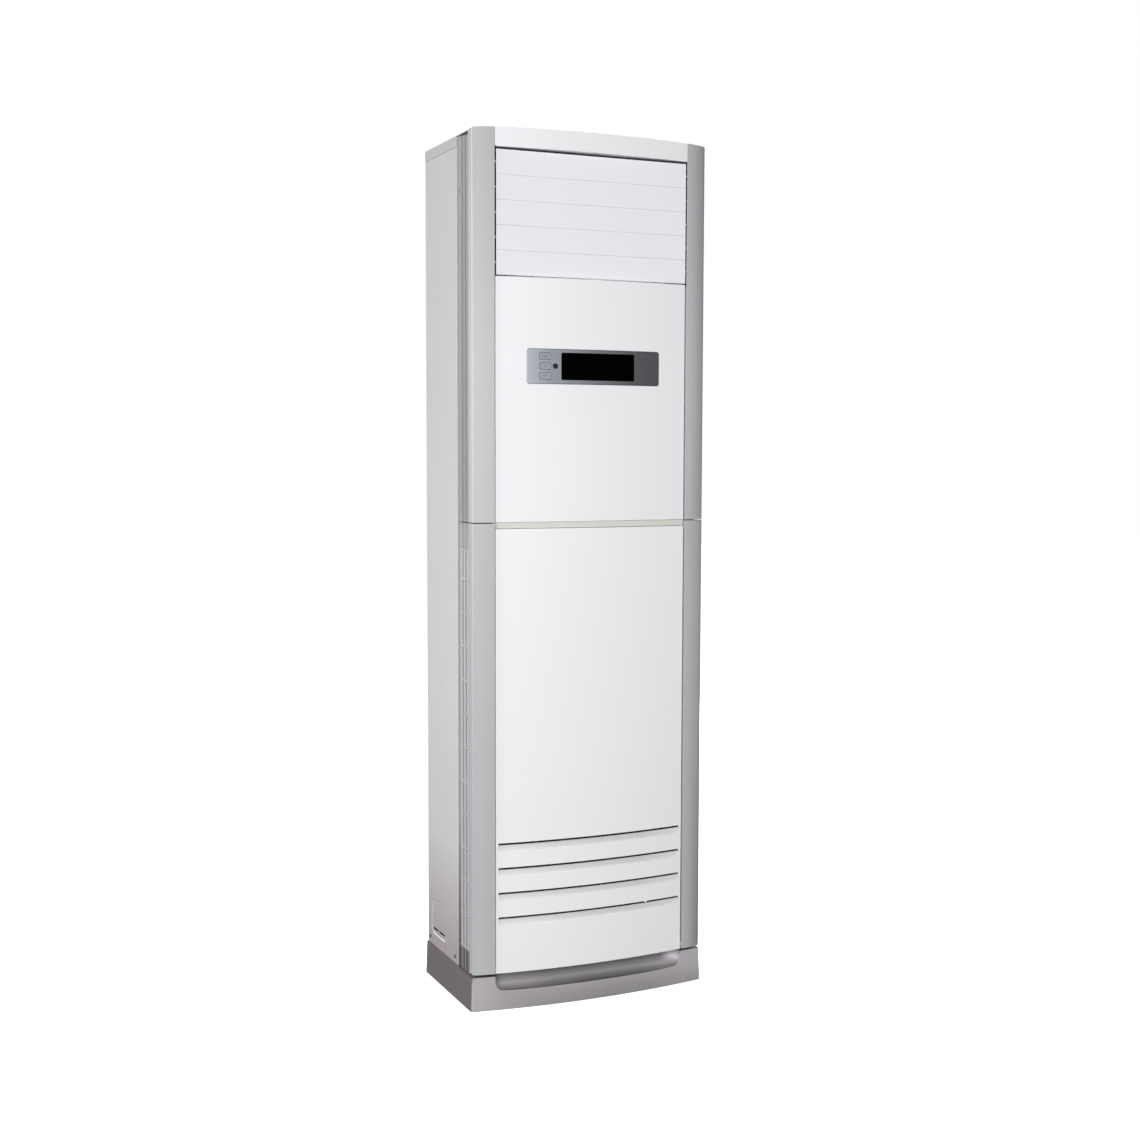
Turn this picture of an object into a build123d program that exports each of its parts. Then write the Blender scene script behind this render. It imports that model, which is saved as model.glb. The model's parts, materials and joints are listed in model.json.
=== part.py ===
from build123d import *
import math
import os

# Floor standing air conditioner, indoor cabinet unit. Millimetres, +Z up, the front faces -Y.
# The model is laid out with y = 0 on the line where the posts meet the white front panels, and
# every piece is moved by Y_SHIFT when it is written, so that the origin is the middle of the base.

# ---------------------------------------------------------------- driving dimensions
POST_X = 256.0          # outer flank of the posts
SIDE_X = 255.0          # outer face of the sheet side panels
SHEET = 1.2             # sheet metal thickness
PANEL_X = 209.3         # half width of the white front panels
INNER_X = 211.3         # inner edge of the posts
PANEL_R = 1467.7        # plan radius of the bowed front panels
PANEL_MID = -11.5       # y of the front panels at the middle
PANEL_BACK = 16.0       # y of the rear edge of the front panels
SKIN = 2.8              # moulded wall thickness
HEAD_R = 1610.6         # plan radius of the header
HEAD_MID = -14.0        # y of the header at the middle
BASE_FRONT = -15.0      # y of the plinth at the middle of the front
REAR_Y = 288.5          # rear face of the rear panel
GLAND_Y = 291.0         # rear face of the cable gland
Y_SHIFT = -(BASE_FRONT + GLAND_Y) / 2.0

BASE_TOP = 68.6
POST_BOTTOM = 75.0
FLANK_BOTTOM = 69.2                   # lower end of the ribbed flank behind the post's face
LOWER_Z0, LOWER_Z1 = 73.2, 971.5      # lower front panel
SEAM_Z0, SEAM_Z1 = 972.3, 984.0       # trim strip between the panels
UPPER_Z0, UPPER_Z1 = 984.5, 1467.0    # upper front panel
HEAD_Z0, HEAD_Z1 = 1715.3, 1753.5     # header
COVER_Z = 1748.0                      # top of the cabinet cover
COVER_SEAM = 1726.2                   # lower edge of the cover's side flange
POST_SPLIT = 983.2                    # middle of the gap between upper and lower posts

SLOTS_Z = (340.1, 290.0, 239.5, 189.1)   # upper lips of the four scoops
TILT_Y, TILT_Z = 8.0, 84.0               # tilt axis of the lower front panel
TILT_PIN_R = 3.0

LOUVRES = 5
LOUVRE_Z0, LOUVRE_Z1 = 1468.8, 1711.0
LOUVRE_X = 208.8
LOUVRE_Y = 2.6           # closed face of the blades
LOUVRE_AXIS_Y = 7.0
CRANK_R = 14.0

VANES = 7
VANE_PITCH = 56.0
VANE_AXIS_Y = 55.0
VANE_Z0, VANE_Z1 = 1474.0, 1706.0
VANE_ARM = 16.0

DISP_Z = 1292.6
DISP_W, DISP_H = 291.0, 69.0
WIN_X, WIN_W, WIN_H = 6.8, 161.0, 53.6
BTN_X = -107.75
BTN_Z = (1312.7, 1293.2, 1273.7)
BTN_W, BTN_H = 24.0, 13.0
IR_X, IR_R = -86.3, 5.5

FAN_X, FAN_Z, FAN_R = -24.0, 372.0, 150.0
DECK_Z = 640.2

COIL_Y0, COIL_Z0 = 62.0, 760.0
COIL_TILT = 15.1
COIL_L, COIL_T, COIL_X = 650.0, 44.0, 190.0
TUBES, TUBE_PITCH = 12, 50.0

GAS_XY = (-232.0, 268.0)
LIQ_XY = (-226.0, 240.0)

OUT = "parts"
os.makedirs(OUT, exist_ok=True)


# ---------------------------------------------------------------- helpers
def bx(x0, x1, y0, y1, z0, z1):
    return Pos((x0 + x1) / 2, (y0 + y1) / 2, (z0 + z1) / 2) * Box(x1 - x0, y1 - y0, z1 - z0)


def cx(x0, x1, y, z, r):
    return Pos((x0 + x1) / 2, y, z) * Rot(0, 90, 0) * Cylinder(r, x1 - x0)


def cy(y0, y1, x, z, r):
    return Pos(x, (y0 + y1) / 2, z) * Rot(90, 0, 0) * Cylinder(r, y1 - y0)


def cz(z0, z1, x, y, r):
    return Pos(x, y, (z0 + z1) / 2) * Cylinder(r, z1 - z0)


def ext(face, z0, z1):
    # plan face (drawn on XY) pulled up from z0 to z1
    return Pos(0, 0, z0) * extrude(face, z1 - z0, dir=(0, 0, 1))


def exy(pts, y0, y1):
    # elevation outline (x, z) pulled from y0 to y1
    f = make_face(Polyline([(x, y0, z) for x, z in pts], close=True))
    return extrude(f, y1 - y0, dir=(0, 1, 0))


def exx(pts, x0, x1):
    # side outline (y, z) pulled from x0 to x1
    f = make_face(Polyline([(x0, y, z) for y, z in pts], close=True))
    return extrude(f, x1 - x0, dir=(1, 0, 0))


def rrect(xc, zc, w, h, r, y0, y1):
    # upright rounded rectangle, pulled through y
    pl = Plane(origin=(xc, y0, zc), x_dir=(1, 0, 0), z_dir=(0, -1, 0))
    return extrude(pl * RectangleRounded(w, h, r), -(y1 - y0))


def mirror_x(s):
    return mirror(s, about=Plane.YZ)


def arc_y(x, r=PANEL_R, mid=PANEL_MID):
    return mid + r - math.sqrt(r * r - x * x)


def bow_face(xh, r, mid, back):
    # plan region between a bowed front and a straight back
    ya = arc_y(xh, r, mid)
    return make_face([ThreePointArc((-xh, ya), (0, mid), (xh, ya)),
                      Line((xh, ya), (xh, back)), Line((xh, back), (-xh, back)),
                      Line((-xh, back), (-xh, ya))])


def band(xh, out, inn, z0, z1):
    # curved plate that follows the front panels; out and inn are measured outwards from their face
    o, i = PANEL_R + out, PANEL_R + inn
    mo, mi = PANEL_MID - out, PANEL_MID - inn
    yo, yi = arc_y(xh, o, mo), arc_y(xh, i, mi)
    f = make_face([ThreePointArc((-xh, yo), (0, mo), (xh, yo)), Line((xh, yo), (xh, yi)),
                   ThreePointArc((xh, yi), (0, mi), (-xh, yi)), Line((-xh, yi), (-xh, yo))])
    return ext(f, z0, z1)


def pan(xh, r, mid, back, z0, z1, t=SKIN):
    outer = ext(bow_face(xh, r, mid, back), z0, z1)
    inner = ext(bow_face(xh - t, r - t, mid + t, back + 5), z0 + t, z1 - t)
    return outer - inner


PANEL_YC = PANEL_MID + PANEL_R
PARTS = {}


def put(name, shape):
    PARTS[name] = shape


# ---------------------------------------------------------------- plinth and base pan
def plinth_face(xh, xc, yc, mid, z):
    # xh flank, (xc, yc) front corner before its rounding, mid front bow
    b = REAR_Y - 1.5
    e = [ThreePointArc((-xc, yc, z), (0, mid, z), (xc, yc, z)),
         ThreePointArc((xc, yc, z), (xh - 0.75, yc + 2.2, z), (xh, yc + 5.5, z)),
         Line((xh, yc + 5.5, z), (xh, b, z)), Line((xh, b, z), (-xh, b, z)),
         Line((-xh, b, z), (-xh, yc + 5.5, z)),
         ThreePointArc((-xh, yc + 5.5, z), (-xh + 0.75, yc + 2.2, z), (-xc, yc, z))]
    return make_face(e)


plinth = loft([plinth_face(260.4, 256.9, 7.6, BASE_FRONT, 0.0),
               plinth_face(258.0, 254.5, 10.2, BASE_FRONT + 2.0, BASE_TOP)], ruled=True)
plinth -= bx(-246.3, 246.3, 25.5, 400, -5, 100)
# toe recess: a concave scoop under the lower front panel
cove = bx(-210.5, 210.5, -60, 15.5, 37.2, 120)
cove = fillet(cove.edges().filter_by(lambda e: abs(e.center().Z - 37.2) < 0.01 and abs(e.center().Y - 15.5) < 0.01
                                     and e.length > 400), 23.0)
cove = fillet(cove.edges().filter_by(lambda e: abs(abs(e.center().X) - 210.5) < 0.01 and e.center().Y > -30
                                     and e.center().Z < 119), 17.0)
plinth -= cove
plinth = fillet(plinth.edges().filter_by(lambda e: 36.2 < e.center().Z < 69.5 and e.center().Y < 9.0
                                         and not abs(e.center().Z - BASE_TOP) < 0.01
                                         and e.center().Y < arc_y(e.center().X, 1283.0, BASE_FRONT + 2.5)), 1.2)
# the front is hollow from below
plinth -= ext(bow_face(236.0, 1464.0, BASE_FRONT + 7.0, 21.5), -1, 34.0)
put("base_plinth", plinth)

pan_floor = bx(-246, 246, 26, 286.5, 0, 1.5)
for s in (1, -1):
    pan_floor += bx(min(s * 246, s * 244.5), max(s * 246, s * 244.5), 26, 286.5, 1.5, 66)
pan_floor += bx(-244.5, 244.5, 26, 27.5, 1.5, 40)
pan_floor += bx(-244.5, 244.5, 285, 286.5, 1.5, 66)
for x in (-200, 200):
    for y in (60, 250):
        pan_floor -= cz(-1, 3, x, y, 5.5)


# ---------------------------------------------------------------- sheet-metal cabinet
def side_panel():
    # drawn on the left, x negative
    s = bx(-SIDE_X, -SIDE_X + SHEET, 97, 287.0, BASE_TOP + 0.5, COVER_SEAM - 0.7)
    s += bx(-SIDE_X + SHEET, -236, 97, 97 + SHEET, BASE_TOP + 0.5, COVER_SEAM - 0.7)
    s += bx(-SIDE_X + SHEET, -232, 287.0 - SHEET, 287.0, BASE_TOP + 0.5, COVER_SEAM - 0.7)
    for z in (110, 900, 1640):
        s -= cy(280, 290, -240, z, 2.2)
    s += bx(-SIDE_X + SHEET, -243, 97 + SHEET, 287.0 - SHEET, BASE_TOP + 0.5, BASE_TOP + 0.5 + SHEET)
    # knockout for the pipes: a stamped recess, and punched slots with a bridge between them
    yc, zc, w, h = 217.0, 133.0, 95.0, 79.0
    pl = Plane(origin=(-SIDE_X, yc, zc), x_dir=(0, 1, 0), z_dir=(1, 0, 0))
    s += extrude(pl * RectangleRounded(w + 1.0, h + 1.0, 18.0), 3.0)
    s -= extrude(Plane(origin=(-SIDE_X - 0.01, yc, zc), x_dir=(0, 1, 0), z_dir=(1, 0, 0)) * RectangleRounded(w, h, 18.0),
                 1.81, taper=52)
    s -= extrude(Plane(origin=(-SIDE_X + 3.01, yc, zc), x_dir=(0, 1, 0), z_dir=(-1, 0, 0))
                 * (RectangleRounded(w + 30, h + 30, 18.0) - RectangleRounded(w - 1.4, h - 1.4, 17.3)), 1.81)
    for y0, y1 in ((187.0, 222.0), (226.5, 259.0)):
        s -= bx(-SIDE_X - 1, -SIDE_X + 5, y0, y1, 102.8, 107.4)
    # screw holes low on the flank
    for y in (115.0, 270.0):
        s -= cx(-SIDE_X - 1, -SIDE_X + 3, y, 84.0, 2.2)
    return s


side_left = side_panel()
side_left = fillet(side_left.edges().filter_by(lambda e: e.length > 1600 and abs(e.center().X + SIDE_X) < 0.01), 0.9)
put("side_panel_left", side_left)
put("side_panel_right", mirror_x(side_left))

rear = bx(-254.4, 254.4, REAR_Y - SHEET, REAR_Y, BASE_TOP + 0.5, COVER_SEAM - 0.7)
for z in (420, 760, 1100, 1440):
    # shallow stamped stiffening beads
    rear += rrect(0, z, 380, 14, 6.9, REAR_Y - SHEET - 1.6, REAR_Y - SHEET)
    rear -= rrect(0, z, 377, 11, 5.4, REAR_Y - 1.6, REAR_Y + 1)
rear -= cy(280, 300, -170, 150, 33.0)
rear -= cy(280, 300, 185, 150, 10.15)
for x in (-150, 150):
    rear -= cy(280, 300, x, 1690, 2.5)
for x in (-240, 240):
    for z in (110, 900, 1640):
        rear -= cy(280, 300, x, z, 2.2)
put("rear_panel", rear)

cover = bx(-SIDE_X, SIDE_X, 30.4, REAR_Y, COVER_Z - SHEET, COVER_Z)
cover += bx(-SIDE_X, SIDE_X, REAR_Y - SHEET, REAR_Y, COVER_SEAM, COVER_Z - SHEET)
for s in (1, -1):
    cover += bx(min(s * SIDE_X, s * (SIDE_X - SHEET)), max(s * SIDE_X, s * (SIDE_X - SHEET)),
                97, REAR_Y - SHEET, COVER_SEAM, COVER_Z - SHEET)
    cover += bx(min(s * (SIDE_X - SHEET), s * (SIDE_X - 2.3)), max(s * (SIDE_X - SHEET), s * (SIDE_X - 2.3)),
                100, 284, COVER_SEAM - 12, COVER_Z - SHEET)
    cover += bx(min(s * (SIDE_X - SHEET), s * 238.0), max(s * (SIDE_X - SHEET), s * 238.0),
                97, 97 + SHEET, COVER_SEAM, COVER_Z - SHEET)
cover = fillet(cover.edges().filter_by(Axis.Y).filter_by(
    lambda e: abs(abs(e.center().X) - SIDE_X) < 0.01 and abs(e.center().Z - COVER_Z) < 0.01), 1.0)
put("top_cover", cover)

# ---------------------------------------------------------------- elevation outline of the top
top_edge = [ThreePointArc((-211.7, 1751.9), (0, HEAD_Z1), (211.7, 1751.9)),
            ThreePointArc((211.7, 1751.9), (233.0, 1751.2), (251.0, 1750.0)),
            ThreePointArc((251.0, 1750.0), (254.6, 1748.4), (256.0, 1744.6)),
            Line((256.0, 1744.6), (256.0, 1400)), Line((256.0, 1400), (-256.0, 1400)),
            Line((-256.0, 1400), (-256.0, 1744.6)),
            ThreePointArc((-256.0, 1744.6), (-254.6, 1748.4), (-251.0, 1750.0)),
            ThreePointArc((-251.0, 1750.0), (-233.0, 1751.2), (-211.7, 1751.9))]
top_plane = Plane(origin=(0, -60, 0), x_dir=(1, 0, 0), z_dir=(0, -1, 0))
TOPSHAPE = extrude(top_plane * make_face(top_edge), -200)

header = pan(210.9, HEAD_R, HEAD_MID, 30.0, HEAD_Z0, 1760.0, SKIN) & TOPSHAPE
header += (ext(bow_face(210.9, HEAD_R, HEAD_MID, 30.0), 1740, 1760) & TOPSHAPE) \
    - (ext(bow_face(216.0, HEAD_R + 10, HEAD_MID - 10, 40.0), 1700, 1760) & (Pos(0, 0, -SKIN) * TOPSHAPE))
header = fillet(header.edges().filter_by(lambda e: abs(e.center().Z - HEAD_Z0) < 0.01 and e.length > 400
                                         and abs(e.center().Y - HEAD_MID) < 0.1), 1.2)
put("header_trim", header)


# ---------------------------------------------------------------- posts with ribbed flanks
RIBS_Y = ((37.0, 47.0), (54.7, 64.7), (72.4, 82.4))


def post_skin():
    # left post in plan, mirrored copy of these x values
    o = [ThreePointArc((-INNER_X, 0), (-231.4, 2.4), (-251.5, 7.2)),
         ThreePointArc((-251.5, 7.2), (-254.9, 8.8), (-POST_X, 12.2)),
         Line((-POST_X, 12.2), (-POST_X, 29.0)), Line((-POST_X, 29.0), (-253.2, 29.0)),
         Line((-253.2, 29.0), (-253.2, 13.8)),
         ThreePointArc((-253.2, 13.8), (-252.3, 11.6), (-249.9, 10.2)),
         ThreePointArc((-249.9, 10.2), (-230.9, 5.3), (-INNER_X, 2.8)),
         Line((-INNER_X, 2.8), (-INNER_X, 0))]
    return make_face(o)


def post_solid():
    o = [ThreePointArc((-INNER_X, 0), (-231.4, 2.4), (-251.5, 7.2)),
         ThreePointArc((-251.5, 7.2), (-254.9, 8.8), (-POST_X, 12.2)),
         Line((-POST_X, 12.2), (-POST_X, 29.0)), Line((-POST_X, 29.0), (-INNER_X, 29.0)),
         Line((-INNER_X, 29.0), (-INNER_X, 0))]
    return make_face(o)


def post(z0, z1, ret_z1, floor_z1, zf=None):
    # zf is where the ribbed flank starts, when it reaches lower than the front skin
    zf = z0 if zf is None else zf
    s = ext(post_skin(), z0, z1)
    s += bx(-254.5, -247.5, 26.5, 29.0, z0, z1)
    s += bx(-250.0, -247.5, 28.0, 96.0, zf, floor_z1)
    s += bx(-254.4, -238.0, 94.4, 96.4, zf, floor_z1)
    for y0, y1 in RIBS_Y:
        s += bx(-253.3, -249.0, y0, y1, zf, floor_z1)
    s += bx(-213.8, -INNER_X, 1.5, 22.0, z0, ret_z1)
    return s



def inner_edge(s):
    return s.edges().filter_by(lambda e: e.length > 600 and abs(e.center().X + INNER_X) < 0.05 and abs(e.center().Y) < 0.5)


def panel_rim(s, z0, z1):
    return s.edges().filter_by(lambda e: (e.geom_type == GeomType.CIRCLE and e.length > 400 and e.center().Y < -11.0
                                          and (abs(e.center().Z - z0) < 0.01 or abs(e.center().Z - z1) < 0.01))
                               or (e.length > 400 and abs(abs(e.center().X) - PANEL_X) < 0.01 and e.center().Y < 5))


wide_top = TOPSHAPE + bx(-256.0, 256.0, -60, 140, 900, 1401)
upper_post = post(POST_SPLIT + 1.0, 1760.0, 1463.0, 1745.6) & wide_top
upper_post -= exx([(29.05, 1739.8), (97.0, 1745.6), (97.0, 1750.0), (29.05, 1750.0)], -260.0, -237.0)
cap = (ext(post_solid(), 1720, 1760) & wide_top) - (ext(post_solid(), 1700, 1760) & (Pos(0, 0, -3.0) * wide_top))
upper_post += cap
upper_post -= cx(-254, -246, 89.0, 1641.0, 1.8)
upper_post -= cy(94.0, 96.8, -252.3, 1640.6, 1.3)
upper_post = fillet(inner_edge(upper_post), 0.8)
put("upper_post_left", upper_post)
put("upper_post_right", mirror_x(upper_post))

lower_post = post(POST_BOTTOM, POST_SPLIT - 1.0, POST_SPLIT - 1.0, POST_SPLIT - 1.0, FLANK_BOTTOM)
lower_post -= bx(-260, -245, 31.0, 93.0, 115.0, 930.4)
lower_post -= cx(-216, -209, TILT_Y, TILT_Z, TILT_PIN_R + 0.08)
lower_post = fillet(inner_edge(lower_post), 0.8)
put("lower_post_left", lower_post)
put("lower_post_right", mirror_x(lower_post))

# ---------------------------------------------------------------- side intake grilles and filters
GZ0, GZ1 = 115.4, 930.0
grille = bx(-250.0, -248.0, 31.3, 34.0, GZ0, GZ1) + bx(-250.0, -248.0, 88.5, 92.7, GZ0, GZ1)
for y0, y1 in RIBS_Y:
    grille += bx(-253.8, -248.0, y0, y1, GZ0, GZ1)
BAR_Z = [GZ0 + i * 68.53 for i in range(12)] + [GZ1 - 3.0]
for z in BAR_Z:
    grille += bx(-252.0, -248.0, 31.3, 92.7, z, z + 3.0)
for z in BAR_Z[1:12]:
    # the ribs are notched where a cross bar passes
    grille -= bx(-256.0, -252.0, 30.0, 66.0, z, z + 3.0)
put("side_grille_left", grille)
put("side_grille_right", mirror_x(grille))

filt = bx(-247.0, -243.5, 31.5, 92.5, 117.0, 928.0) - bx(-248, -240, 37.0, 87.0, 123.0, 922.0)
filt += bx(-245.6, -245.0, 36.0, 88.0, 122.0, 923.0)
for i in range(1, 8):
    z = 117.0 + i * 101.1
    filt += bx(-246.6, -244.0, 36.0, 88.0, z - 1.5, z + 1.5)
put("air_filter_left", filt)
put("air_filter_right", mirror_x(filt))

# ---------------------------------------------------------------- trim strip between the panels
seam = ext(bow_face(210.9, PANEL_R, -6.5, 24.0), SEAM_Z0, SEAM_Z1)
seam += bx(-210.9, 210.9, 19.0, 24.0, 955.0, 1003.0)
put("seam_trim", seam)

# ---------------------------------------------------------------- upper front panel
upper = pan(PANEL_X, PANEL_R, PANEL_MID, PANEL_BACK, UPPER_Z0, UPPER_Z1)
upper -= rrect(0, DISP_Z, DISP_W + 0.6, DISP_H + 0.6, 5.3, -40, 12)
upper = fillet(panel_rim(upper, UPPER_Z0, UPPER_Z1), 1.2)
put("upper_front_panel", upper)

# ---------------------------------------------------------------- lower front panel with four scoops
lower = pan(PANEL_X, PANEL_R, PANEL_MID, PANEL_BACK, LOWER_Z0, LOWER_Z1)
AX = Axis((0, PANEL_YC, 0), (0, 0, 1))


def swept(pts, half_deg):
    # side outline (y, z) turned about the bow's own centre
    f = make_face(Polyline([(0, y, z) for y, z in pts], close=True))
    f = f.rotate(AX, -half_deg)
    return revolve(f, AX, 2 * half_deg)


for z in SLOTS_Z:
    m = PANEL_MID
    lower += swept([(m + 1.5, z + 2.6), (m + 9.6, z + 2.6), (m + 9.6, z - 6.5), (m + 6.2, z - 10.5),
                    (m + 4.0, z - 15.5), (m + 3.0, z - 20.0), (m + 1.5, z - 20.0)], 8.06)
    cut = swept([(m - 3.0, z), (m + 7.0, z), (m + 7.0, z - 4.7), (m + 5.4, z - 5.5), (m + 4.0, z - 7.3),
                 (m + 2.8, z - 10.0), (m + 1.8, z - 13.2), (m + 1.1, z - 16.0), (m, z - 17.8), (m - 3.0, z - 17.8)], 8.2)
    lower -= cut & rrect(0, z + 5.0, 407.0, 45.2, 11.0, -40, 40)
    lower -= swept([(m + 6.0, z), (m + 11.0, z), (m + 11.0, z - 4.7), (m + 6.0, z - 4.7)], 7.96)
for s in (1, -1):
    lower += cx(min(s * 206.0, s * 213.6), max(s * 206.0, s * 213.6), TILT_Y, TILT_Z, TILT_PIN_R)
lower = fillet(panel_rim(lower, LOWER_Z0, LOWER_Z1), 1.2)
put("lower_front_panel", lower)

# ---------------------------------------------------------------- display
bezel = band(152.0, 0.8, -SKIN, DISP_Z - 40, DISP_Z + 40) & rrect(0, DISP_Z, DISP_W, DISP_H, 5.0, -40, 40)
bezel += band(152.0, -SKIN - 0.1, -4.8, DISP_Z - 42, DISP_Z + 42) & rrect(0, DISP_Z, DISP_W + 8, DISP_H + 8, 6.0, -40, 40)
bezel += band(152.0, -SKIN + 0.4, -SKIN - 0.3, DISP_Z - 42, DISP_Z + 42) & rrect(0, DISP_Z, DISP_W, DISP_H, 5.0, -40, 40)
bezel -= band(160.0, 3.0, -2.3, DISP_Z - 50, DISP_Z + 50) & rrect(WIN_X, DISP_Z + 0.6, WIN_W + 0.5, WIN_H + 0.5, 2.6, -40, 40)
bezel -= rrect(WIN_X, DISP_Z + 0.6, WIN_W - 5.0, WIN_H - 5.0, 2.0, -40, 40)
for z in BTN_Z:
    bezel -= rrect(BTN_X, z, BTN_W + 1.3, BTN_H + 1.3, 3.1, -40, 40)
bezel -= cy(-40, 40, IR_X, DISP_Z + 0.8, IR_R + 0.2)
for x in (-130.0, 130.0):
    for z in (DISP_Z - 26, DISP_Z + 26):
        bezel += cy(-2.5, 4.0, x, z, 3.0)
put("display_bezel", bezel)

window = band(160.0, 0.5, -2.3, DISP_Z - 50, DISP_Z + 50) & rrect(WIN_X, DISP_Z + 0.6, WIN_W, WIN_H, 2.4, -40, 40)
put("display_window", window)

ir_front = arc_y(IR_X) - 0.5
ir = cy(ir_front, arc_y(IR_X) + 5.5, IR_X, DISP_Z + 0.8, IR_R) + cy(arc_y(IR_X) + 5.5, arc_y(IR_X) + 7.0, IR_X, DISP_Z + 0.8, 7.5)
put("ir_window", ir)

BTN_A = math.asin(-BTN_X / PANEL_R)
BTN_DIR = (math.sin(BTN_A), math.cos(BTN_A), 0.0)     # inward push direction
for name, z in zip(("button_upper", "button_middle", "button_lower"), BTN_Z):
    b = band(160.0, 1.5, -5.1, z - 20, z + 20) & rrect(BTN_X, z, BTN_W, BTN_H, 2.6, -40, 40)
    b += band(160.0, -5.0, -6.2, z - 20, z + 20) & rrect(BTN_X, z, BTN_W + 3.4, BTN_H + 3.2, 3.0, -40, 40)
    b += cy(arc_y(BTN_X) + 6.0, arc_y(BTN_X) + 7.5, BTN_X, z, 2.0)
    put(name, b)

board = bx(-137, 137, 4.0, 5.6, DISP_Z - 31, DISP_Z + 31)
for z in BTN_Z:
    board += bx(BTN_X - 3, BTN_X + 3, 1.6, 4.0, z - 3, z + 3)
board += bx(WIN_X - 76, WIN_X + 76, 0.5, 4.0, DISP_Z - 22, DISP_Z + 23)
board += bx(IR_X - 3.5, IR_X + 3.5, -1.6, 4.0, DISP_Z - 3, DISP_Z + 4)
board += bx(110, 128, 5.6, 13.0, DISP_Z - 10, DISP_Z + 10)
put("display_board", board)

# ---------------------------------------------------------------- outlet frame
OX0, OX1 = 211.4, 213.8
frame = bx(-OX1, OX1, 6.0, 100.0, 1712.4, 1714.8)
frame += bx(-OX1, OX1, 16.4, 100.0, 1464.6, 1467.0)
LP = (LOUVRE_Z1 - LOUVRE_Z0) / LOUVRES
LOUVRE_ZC = [LOUVRE_Z0 + LP * (i + 0.5) for i in range(LOUVRES)][::-1]    # 1 is the top blade
for s in (1, -1):
    frame += bx(min(s * OX0, s * OX1), max(s * OX0, s * OX1), 3.4, 100.0, 1464.6, 1714.8)
    # rear flange that carries the frame against the posts
    frame += bx(min(s * OX1, s * 247.4), max(s * OX1, s * 247.4), 92.0, 94.0, 1500.0, 1700.0)
for z in LOUVRE_ZC:
    frame -= cx(-220, 220, LOUVRE_AXIS_Y, z, 2.57)
VANE_X = [(i - (VANES - 1) / 2) * VANE_PITCH for i in range(VANES)]
for x in VANE_X:
    frame -= cz(1460, 1720, x, VANE_AXIS_Y, 2.07)
put("outlet_frame", frame)

# ---------------------------------------------------------------- louvre blades
H2 = LP / 2 - 0.13
LEND = -LOUVRE_X + 1.2                # left end of the blades
for i, z in enumerate(LOUVRE_ZC):
    sec = make_face([Line((LEND, LOUVRE_Y + 0.12, z - H2), (LEND, LOUVRE_Y, z - H2 + 0.2)),
                     Line((LEND, LOUVRE_Y, z - H2 + 0.2), (LEND, LOUVRE_Y, z + H2 - 0.2)),
                     Line((LEND, LOUVRE_Y, z + H2 - 0.2), (LEND, LOUVRE_Y + 0.12, z + H2)),
                     Line((LEND, LOUVRE_Y + 0.12, z + H2), (LEND, LOUVRE_Y + 1.8, z + H2)),
                     ThreePointArc((LEND, LOUVRE_Y + 1.8, z + H2), (LEND, LOUVRE_Y + 5.4, z),
                                   (LEND, LOUVRE_Y + 1.8, z - H2)),
                     Line((LEND, LOUVRE_Y + 1.8, z - H2), (LEND, LOUVRE_Y + 0.12, z - H2))])
    b = extrude(sec, LOUVRE_X - LEND, dir=(1, 0, 0))
    if i < LOUVRES - 1:
        # lip that closes the joint from behind
        b += exx([(LOUVRE_Y + 2.5, z - H2 - 1.8), (LOUVRE_Y + 3.4, z - H2 - 1.8), (LOUVRE_Y + 3.4, z - H2 + 8.0),
                  (LOUVRE_Y + 2.5, z - H2 + 6.0)], -LOUVRE_X + 8.0, LOUVRE_X - 8.0)
    # end bosses and journals; the left end carries the crank
    b += cx(LEND, LEND + 6, LOUVRE_AXIS_Y, z, 4.0) + cx(LOUVRE_X - 6, LOUVRE_X, LOUVRE_AXIS_Y, z, 4.0)
    b += cx(-216.5, LEND + 1, LOUVRE_AXIS_Y, z, 2.5)
    b += cx(LOUVRE_X - 1, 215.0, LOUVRE_AXIS_Y, z, 2.5)
    arm = bx(-217.2, -214.4, LOUVRE_AXIS_Y, LOUVRE_AXIS_Y + CRANK_R, z - 3.0, z + 3.0)
    arm += cx(-217.2, -214.4, LOUVRE_AXIS_Y, z, 3.2) + cx(-217.2, -214.4, LOUVRE_AXIS_Y + CRANK_R, z, 3.4)
    b += arm + cx(-222.0, -217.0, LOUVRE_AXIS_Y + CRANK_R, z, 2.0)
    put("louvre_blade_%d" % (i + 1), b)

ly = LOUVRE_AXIS_Y + CRANK_R
link = bx(-221.0, -218.0, ly - 3.8, ly + 3.8, LOUVRE_ZC[-1], LOUVRE_ZC[0])
link += cx(-221.0, -218.0, ly, LOUVRE_ZC[-1], 3.8) + cx(-221.0, -218.0, ly, LOUVRE_ZC[0], 3.8)
for z in LOUVRE_ZC:
    link -= cx(-225, -215, ly, z, 2.07)
put("louvre_link_bar", link)

# small geared motor: its output is offset from the can, on the middle blade's axis
zm = LOUVRE_ZC[2]
lmotor = cx(215.6, 231.0, 17.0, zm, 10.5)
lmotor += bx(215.6, 217.6, 5.6, 28.4, zm - 17.5, zm + 17.5)
for dz in (-14.5, 14.5):
    lmotor += cx(213.8, 215.6, 17.0, zm + dz, 2.6)
put("louvre_motor", lmotor)

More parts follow.
